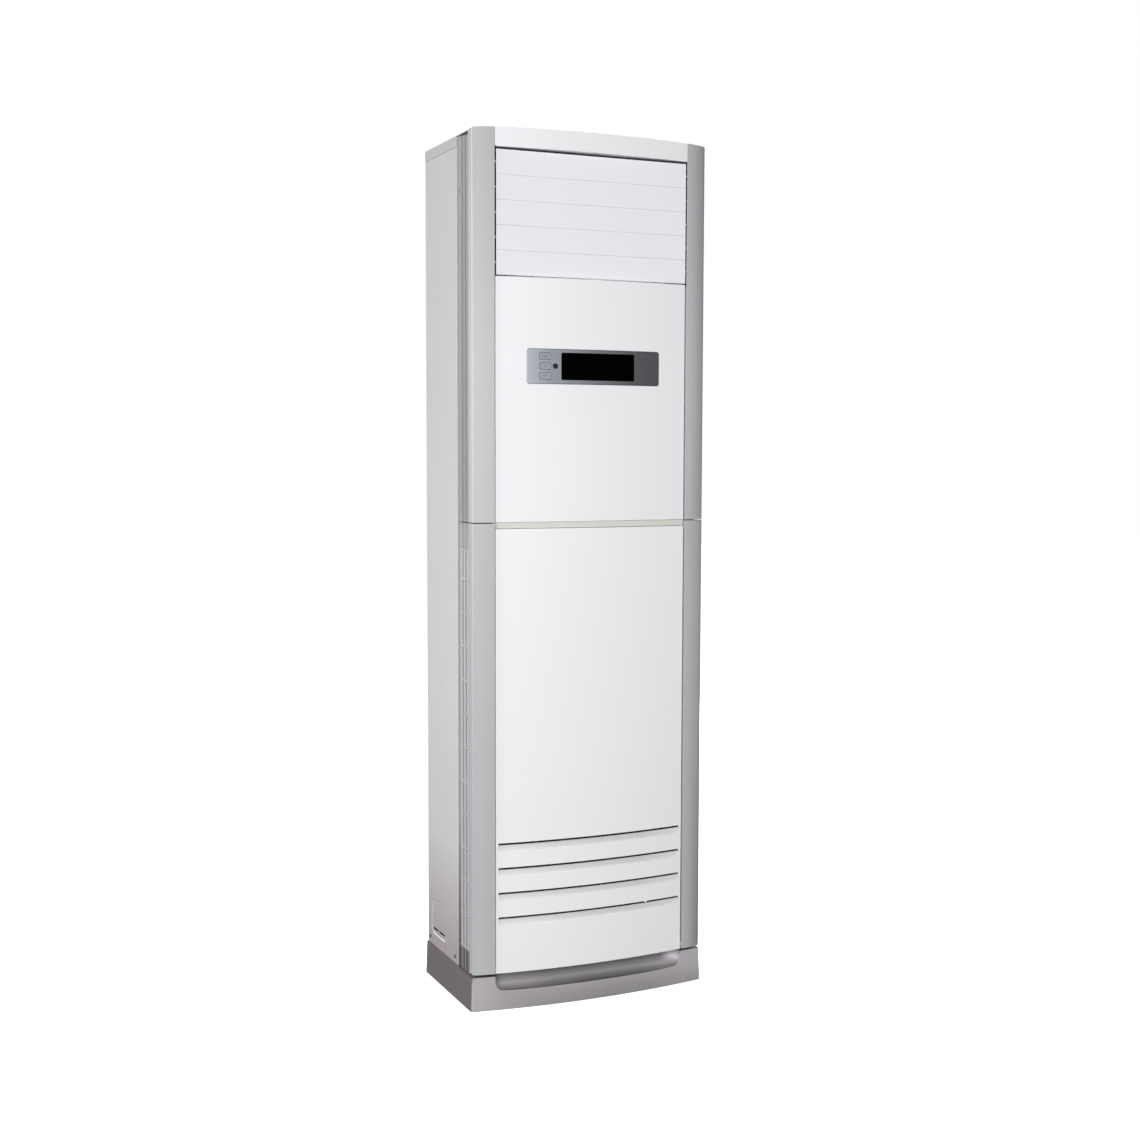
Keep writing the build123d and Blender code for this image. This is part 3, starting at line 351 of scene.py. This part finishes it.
def scoop_tint(m, col):
    # painted shade: the hollows of the scoops are painted darker, most at the middle, and the slot under each lip is
    # painted near black
    x, y, z = m.z()
    deep = m.ramp(m.radius(x, y, 1.3182), 1.0, 0.0, 1.4657, 1.4674)
    zone = m.mul(m.ramp(z, 1.0, 0.0, 0.345, 0.350), m.ramp(m.abs(x), 1.0, 0.0, 0.2045, 0.2060))
    run = m.grad(m.ramp(x, 0.0, 1.0, -0.21, 0.21), (0.0, 236), (0.35, 226), (0.75, 222), (1.0, 238))
    slot = m.ramp(m.radius(x, y, 1.3182), 1.0, 0.0, 1.4614, 1.4620)
    return m.mix(m.mul(slot, zone), m.mix(m.mul(deep, zone), col, m.times(col, run)), rgb(80, 80, 82))


M["white_panel"] = plastic("white_moulding", rgb(245, 245, 248), rgb(242, 242, 245), (0.30, 0.36), 1100.0, 0.00002, 0.2, 0.0006, 0.1, None, 0.03)
M["scooped_white"] = plastic("scooped_moulding", rgb(246, 246, 248), rgb(243, 243, 245), (0.30, 0.36), 1100.0, 0.00002, 0.2, 0.0006, 0.1, scoop_tint, 0.03)
M["louvre_white"] = plastic("louvre_moulding", rgb(242, 243, 247), rgb(239, 240, 244), (0.30, 0.36), 1100.0, 0.00002, 0.2, 0.0002, 0.1, louvre_tint, 0.03)
M["post_grey"] = plastic("post_moulding", rgb(203, 204, 206), rgb(199, 200, 202), (0.32, 0.40), 1000.0, 0.00003, 0.35, 0.0006, 0.1, post_tint, 0.05)
M["grille_grey"] = plastic("grille_moulding", rgb(216, 215, 218), rgb(210, 209, 212), (0.38, 0.5), 900.0, 0.00004, 0.4, 0.0004, 0.0, grille_tint, 0.0)
M["plinth_grey"] = plastic("plinth_moulding", rgb(184, 180, 184), rgb(178, 174, 178), (0.28, 0.38), 900.0, 0.00003, 0.4, 0.0008, 0.2, plinth_tint, 0.05)
M["seam_grey"] = plastic("seam_moulding", rgb(219, 219, 214), rgb(208, 208, 202), (0.4, 0.5), 900.0, 0.00004, 0.4, 0.0004)
M["side_paint"] = plastic("side_powder_coat", rgb(233, 233, 234), rgb(230, 230, 231), (0.42, 0.54), 420.0, 0.00007, 0.45, 0.0005, 0.0, side_tint, 0.08)
M["cover_paint"] = plastic("cover_powder_coat", rgb(206, 206, 207), rgb(202, 202, 203), (0.42, 0.54), 420.0, 0.00007, 0.45, 0.0005, 0.0, None, 0.08)
M["duct_grey"] = plastic("duct_moulding", rgb(52, 53, 55), rgb(43, 44, 46), (0.45, 0.6), 700.0, 0.00005, 0.5, 0.0004)
M["vane_grey"] = plastic("vane_moulding", rgb(96, 98, 101), rgb(84, 86, 89), (0.42, 0.55), 700.0, 0.00005, 0.5, 0.0004)
M["link_black"] = plastic("link_moulding", rgb(26, 26, 27), rgb(19, 19, 20), (0.4, 0.55), 700.0, 0.00004, 0.5, 0.0003)
M["fan_grey"] = plastic("fan_moulding", rgb(112, 114, 118), rgb(98, 100, 104), (0.45, 0.6), 500.0, 0.00006, 0.5, 0.0005)
M["drain_white"] = plastic("drain_moulding", rgb(225, 225, 220), rgb(212, 212, 206), (0.45, 0.6), 260.0, 0.0002, 0.6, 0.0005)
M["terminal_cream"] = plastic("terminal_moulding", rgb(226, 221, 203), rgb(214, 208, 188), (0.4, 0.5), 700.0, 0.00004, 0.4, 0.0003)
M["gland_black"] = plastic("gland_nylon", rgb(30, 30, 31), rgb(22, 22, 23), (0.38, 0.5), 600.0, 0.00005, 0.4, 0.0005)
M["button_grey"] = plastic("key_moulding", rgb(158, 163, 173), rgb(152, 157, 167), (0.28, 0.38), 1100.0, 0.00002, 0.3, 0.0005, 0.2)
M["zinc_sheet"] = metal("zinc_plated_sheet", rgb(176, 180, 184), rgb(150, 154, 159), (0.32, 0.55), 0.85, None, 60.0)
M["motor_paint"] = metal("motor_enamel", rgb(44, 45, 47), rgb(34, 35, 37), (0.3, 0.42), 0.2, None, 300.0, 0.00006)
M["shaft_steel"] = metal("ground_steel", rgb(190, 190, 192), rgb(170, 170, 173), (0.18, 0.3), 1.0, (20.0, 1.0, 20.0), 90.0)
M["fin_aluminium"] = metal("fin_stock", rgb(205, 210, 214), rgb(186, 192, 198), (0.28, 0.42), 1.0, None, 240.0)
M["copper"] = metal("drawn_copper", rgb(208, 130, 92), rgb(176, 100, 66), (0.24, 0.4), 1.0, None, 40.0)
M["union_brass"] = metal("turned_brass", rgb(212, 178, 104), rgb(184, 150, 82), (0.2, 0.34), 1.0, (1.0, 1.0, 24.0), 120.0)
M["screw_zinc"] = metal("zinc_plated_screw", rgb(190, 190, 186), rgb(160, 160, 156), (0.25, 0.4), 1.0, None, 300.0)

# bezel: a silver grey painted darker towards the right end as shade, where the light falls off, with a darker rim at
# its edges
m = Mat("bezel_paint")
m.soft_edge(0.0006)
x = m.z()[0]
z = m.z()[2]
col = m.grad(m.ramp(x, 0.0, 1.0, -0.1455, 0.1455), (0.0, (196, 202, 211)), (0.08, (184, 190, 199)), (0.17, (166, 171, 181)), (0.27, (158, 162, 171)),
             (0.50, (130, 133, 140)), (0.78, (97, 96, 100)), (1.0, (89, 88, 92)))
col = m.mix(m.ramp(m.noise(420.0, 3.0), 0.0, 0.06), col, rgb(205, 208, 214))
away = m.node("ShaderNodeMath", operation="SUBTRACT")
m.link(z, away.inputs[0])
away.inputs[1].default_value = 1.2926
rim = m.node("ShaderNodeMath", operation="MAXIMUM")
m.link(m.ramp(x, 0.0, 1.0, 0.1436, 0.1446), rim.inputs[0])
m.link(m.ramp(m.abs(away.outputs[0]), 0.0, 1.0, 0.0330, 0.0338), rim.inputs[1])
col = m.shade(col, rim.outputs[0], (0.55, 0.55, 0.57, 1.0))
m.link(col, m.b.inputs["Base Color"])
m.b.inputs["Metallic"].default_value = 0.25
m.link(m.ramp(m.noise(30.0, 4.0), 0.30, 0.40), m.b.inputs["Roughness"])
m.bump(m.noise(1500.0, 2.0), 0.25, 0.00002)
M["bezel_silver"] = m

m = Mat("display_glazing")
m.soft_edge(0.0004)
m.link(m.mix(m.ramp(m.noise(14.0, 4.0), 0.0, 1.0), (0.0002, 0.0002, 0.0003, 1), (0.0005, 0.0005, 0.0007, 1)), m.b.inputs["Base Color"])
m.link(m.ramp(m.noise(40.0, 5.0, 0.7), 0.05, 0.10), m.b.inputs["Roughness"])
m.b.inputs["Specular IOR Level"].default_value = 0.04
m.bump(m.noise(6.0, 2.0), 0.05, 0.0003)
M["window_dark"] = m

m = Mat("receiver_lens")
m.soft_edge(0.0006)
m.link(m.mix(m.ramp(m.noise(200.0, 2.0), 0.0, 1.0), rgb(50, 54, 72), rgb(34, 37, 52)), m.b.inputs["Base Color"])
m.link(m.ramp(m.noise(90.0, 3.0), 0.10, 0.2), m.b.inputs["Roughness"])
m.b.inputs["Coat Weight"].default_value = 0.6
M["ir_dark"] = m

m = Mat("board_laminate")
m.soft_edge(0.0003)
v = m.node("ShaderNodeTexVoronoi", feature="DISTANCE_TO_EDGE")
v.inputs["Scale"].default_value = 90.0
m.link(m.coord.outputs["Object"], v.inputs["Vector"])
trk = m.ramp(v.outputs["Distance"], 1.0, 0.0, 0.02, 0.06)
# what stands on the control board: relays, sockets, a driver and a transformer, from left to right
bx_, by_, bz_ = m.z()
stands = m.mul(m.ramp(by_, 1.0, 0.0, -0.0626, -0.0623), m.ramp(bz_, 1.0, 0.0, 0.69, 0.70))
kinds = m.grad(m.ramp(bx_, 0.0, 1.0, -0.17, 0.11), (0.0, (30, 30, 32)), (0.26, (30, 30, 32)), (0.31, (222, 216, 196)), (0.48, (222, 216, 196)),
               (0.50, (40, 41, 45)), (0.73, (40, 41, 45)), (0.76, (196, 158, 74)), (1.0, (196, 158, 74)))
m.link(m.mix(stands, m.mix(trk, rgb(28, 96, 58), rgb(52, 134, 84)), kinds), m.b.inputs["Base Color"])
m.link(m.ramp(m.noise(60.0, 3.0), 0.25, 0.4), m.b.inputs["Roughness"])
m.bump(v.outputs["Distance"], 0.3, 0.0001)
M["board_green"] = m

m = Mat("filter_weave")
w1 = m.node("ShaderNodeTexWave", wave_type="BANDS", bands_direction="Z")
w2 = m.node("ShaderNodeTexWave", wave_type="BANDS", bands_direction="Y")
for w in (w1, w2):
    w.inputs["Scale"].default_value = 240.0
    m.link(m.coord.outputs["Object"], w.inputs["Vector"])
mx = m.node("ShaderNodeMath", operation="MAXIMUM")
m.link(w1.outputs["Fac"], mx.inputs[0]); m.link(w2.outputs["Fac"], mx.inputs[1])
m.link(m.mix(m.ramp(mx.outputs[0], 0.0, 1.0), rgb(34, 38, 44), rgb(84, 92, 102)), m.b.inputs["Base Color"])
m.link(m.ramp(m.noise(60.0, 3.0), 0.7, 0.85), m.b.inputs["Roughness"])
m.bump(mx.outputs[0], 0.6, 0.0002)
M["filter_mesh"] = m

slot_of = {s["node"]: s["material_slot"] for s in frame["record"]["subparts"]}


def dress(o, mat):
    o.data.materials.clear()
    o.data.materials.append(mat)


for n, o in nodes.items():
    dress(o, M[slot_of[n]].m)
dress(nodes["lower_front_panel"], M["scooped_white"].m)

# ------------------------------------------------------------------ small pieces on the display
BOW_R, BOW_Y = 1.4677, 1.3182          # the front panels' bow: radius, and the y of its axis
DISP_Z = 1.2926


def bow(x, out):
    # y of a point that stands out from the panels' face
    r = BOW_R + out
    return BOW_Y - math.sqrt(r * r - x * x)


def outline(xc, zc, w, h, r, n=5):
    # rounded rectangle, anticlockwise seen from the front
    pts = []
    for cx, cz, a0 in ((w / 2 - r, h / 2 - r, 0), (-w / 2 + r, h / 2 - r, 90), (-w / 2 + r, -h / 2 + r, 180), (w / 2 - r, -h / 2 + r, 270)):
        for k in range(n + 1):
            a = math.radians(a0 + 90.0 * k / n)
            pts.append((xc + cx + r * math.cos(a), zc + cz + r * math.sin(a)))
    return pts


def mesh_object(name, verts, faces, mat, body):
    me = bpy.data.meshes.new(name)
    me.from_pydata(verts, [], faces)
    me.update()
    b = bmesh.new()
    b.from_mesh(me)
    bmesh.ops.recalc_face_normals(b, faces=b.faces)
    b.to_mesh(me)
    b.free()
    o = bpy.data.objects.new(name, me)
    scene.collection.objects.link(o)
    dress(o, mat)
    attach(o, body)
    return o


def ring(name, outer, inner, out0, out1, mat, body):
    # closed ring between two outlines; out0 is its back and out1 its front, both measured outwards from the panels
    n = len(outer)
    v = [(x, bow(x, o), z) for o in (out0, out1) for loop in (outer, inner) for x, z in loop]
    f = []
    for i in range(n):
        j = (i + 1) % n
        a, b, c, d = 0, n, 2 * n, 3 * n          # back outer, back inner, front outer, front inner
        f += [(a + i, a + j, c + j, c + i), (b + i, d + i, d + j, b + j), (c + i, c + j, d + j, d + i), (a + i, b + i, b + j, a + j)]
    return mesh_object(name, v, f, mat, body)


def bars(name, rects, out0, out1, mat, body):
    # flat raised bars (xc, zc, w, h), rounded at the corners
    v, f = [], []
    for xc, zc, w, h in rects:
        lo = outline(xc, zc, w, h, min(w, h) * 0.4, 3)
        k, n = len(v), len(lo)
        v += [(x, bow(x, o), z) for o in (out0, out1) for x, z in lo]
        f += [tuple(k + n + i for i in range(n)), tuple(k + i for i in reversed(range(n)))]
        f += [(k + i, k + (i + 1) % n, k + n + (i + 1) % n, k + n + i) for i in range(n)]
    return mesh_object(name, v, f, mat, body)


M["mark_ink"] = plastic("mark_ink", rgb(74, 76, 86), rgb(62, 64, 74), (0.5, 0.6), 900.0, 0.00001, 0.2, 0.00005, 0.0, None, 0.0)
M["mark_dim"] = plastic("mark_ink_dim", rgb(58, 58, 62), rgb(52, 52, 56), (0.5, 0.6), 900.0, 0.00001, 0.2, 0.00005, 0.0, None, 0.0)
M["gasket_black"] = plastic("gasket_rubber", rgb(40, 41, 46), rgb(33, 34, 38), (0.55, 0.7), 700.0, 0.00003, 0.4, 0.0001, 0.0, None, 0.0)
BX = -0.10775
for key, zb, rects in (("upper", 1.3127, [(-6.0, 1.4, 3.2, 0.9), (-1.6, 1.4, 2.6, 0.9), (2.6, 1.4, 2.6, 0.9), (6.4, 1.4, 2.2, 0.9), (0.0, -2.2, 9.0, 0.8)]),
                       ("middle", 1.2932, [(0.0, 0.0, 5.0, 0.8)]),
                       ("lower", 1.2737, [(-2.6, 0.4, 3.6, 0.8), (2.4, 0.4, 3.6, 0.8)])):
    ring("gasket_" + key, outline(BX, zb, 0.0252, 0.0142, 0.0031), outline(BX, zb, 0.0243, 0.0131, 0.00265), -0.0012, 0.0006,
         M["gasket_black"].m, "cabinet")
    bars("mark_" + key, [(BX + a / 1000, zb + b / 1000, w / 1000, h / 1000) for a, b, w, h in rects], 0.0013, 0.00160,
         M["mark_ink"].m, "button_%s_key" % key)
bars("mark_right", [(x, DISP_Z + dz, w, h) for x, dz, w, h in ((0.1140, 0.0205, 0.0090, 0.0010), (0.1105, 0.0085, 0.0012, 0.0035),
                                                              (0.1105, -0.0030, 0.0012, 0.0035), (0.1200, -0.0215, 0.0110, 0.0010))],
     0.0006, 0.00092, M["mark_dim"].m, "cabinet")

# ------------------------------------------------------------------ floor, light, camera
def area(name, loc, target, size, size_y, power, glossy=True, colour=(1, 1, 1)):
    l = bpy.data.lights.new(name, "AREA")
    l.shape = "RECTANGLE"
    l.size, l.size_y, l.energy, l.color = size, size_y, power, colour
    o = bpy.data.objects.new(name, l)
    o.location = loc
    o.rotation_euler = (Vector(target) - Vector(loc)).to_track_quat("-Z", "Y").to_euler()
    o.visible_camera = False
    o.visible_glossy = glossy
    scene.collection.objects.link(o)
    return o


bm = bmesh.new()
bmesh.ops.create_grid(bm, x_segments=24, y_segments=24, size=14.0)
me = bpy.data.meshes.new("studio_floor")
bm.to_mesh(me)
bm.free()
floor = bpy.data.objects.new("studio_floor", me)
scene.collection.objects.link(floor)
fm = Mat("floor_paper")
fm.link(fm.mix(fm.ramp(fm.noise(3.0, 3.0), 0.0, 1.0), (0.92, 0.92, 0.92, 1), (0.90, 0.90, 0.90, 1)), fm.b.inputs["Base Color"])
fm.b.inputs["Roughness"].default_value = 0.9
fm.b.inputs["Specular IOR Level"].default_value = 0.1
fm.b.inputs["Emission Color"].default_value = (1, 1, 1, 1)
far = fm.node("ShaderNodeVectorMath", operation="LENGTH")
fm.link(fm.coord.outputs["Object"], far.inputs[0])
fm.link(fm.ramp(far.outputs["Value"], 0.76, 1.1, 0.4, 3.0), fm.b.inputs["Emission Strength"])
dress(floor, fm.m)
floor.visible_diffuse = False
floor.visible_glossy = False

world = bpy.data.worlds.new("studio")
scene.world = world
world.use_nodes = True
wt = world.node_tree
bg = wt.nodes["Background"]
bg.inputs["Color"].default_value = (1, 1, 1, 1)
bg.inputs["Strength"].default_value = 0.14
bg2 = wt.nodes.new("ShaderNodeBackground")
bg2.inputs["Color"].default_value = (1, 1, 1, 1)
bg2.inputs["Strength"].default_value = 1.0
lp = wt.nodes.new("ShaderNodeLightPath")
mixs = wt.nodes.new("ShaderNodeMixShader")
wt.links.new(lp.outputs["Is Camera Ray"], mixs.inputs[0])
wt.links.new(bg.outputs[0], mixs.inputs[1])
wt.links.new(bg2.outputs[0], mixs.inputs[2])
wt.links.new(mixs.outputs[0], wt.nodes["World Output"].inputs["Surface"])

area("key", (-2.28, -2.53, 1.2), (0, 0, 1.0), 1.4, 1.9, 51.8)
area("fill", (0.7, -4.95, 1.2), (0, 0, 1.0), 1.6, 2.0, 113.0, False)
area("side", (-3.4, -0.12, 1.9), (0, 0, 1.0), 1.4, 1.9, 58.6)
# behind and above the cabinet, so that the back, the right flank and the top show in other views
area("rear", (1.5, 3.5, 1.7), (0, 0, 1.0), 1.6, 2.0, 110.0, False)
area("above", (0.5, 1.0, 4.2), (0, 0.2, 1.75), 1.0, 1.0, 52.0, False)

cam = bpy.data.cameras.new("camera")
cam_o = bpy.data.objects.new("camera", cam)
scene.collection.objects.link(cam_o)
scene.camera = cam_o
YAW, PITCH, ROLL = (math.radians(a) for a in (23.895315546646113, 4.247139129566705, 0.14722870532998134))
fwd = Vector((math.sin(YAW) * math.cos(PITCH), math.cos(YAW) * math.cos(PITCH), -math.sin(PITCH)))
right = Vector((math.cos(YAW), -math.sin(YAW), 0.0))
up = right.cross(fwd)
rr = math.cos(ROLL) * right + math.sin(ROLL) * up
uu = -math.sin(ROLL) * right + math.cos(ROLL) * up
rot = Matrix((rr, uu, -fwd)).transposed().to_4x4()
cam_o.matrix_world = Matrix.Translation(Vector((-1.3668867, -2.9734717 - 0.138, 1.1277357))) @ rot
cam.sensor_fit = "HORIZONTAL"
cam.sensor_width = 36.0
cam.lens = 36.0 * 1617.2780221257754 / 1140.0
cam.clip_start, cam.clip_end = 0.05, 60.0

scene.view_settings.view_transform = "Standard"
scene.view_settings.look = "None"
scene.view_settings.exposure = 0.0
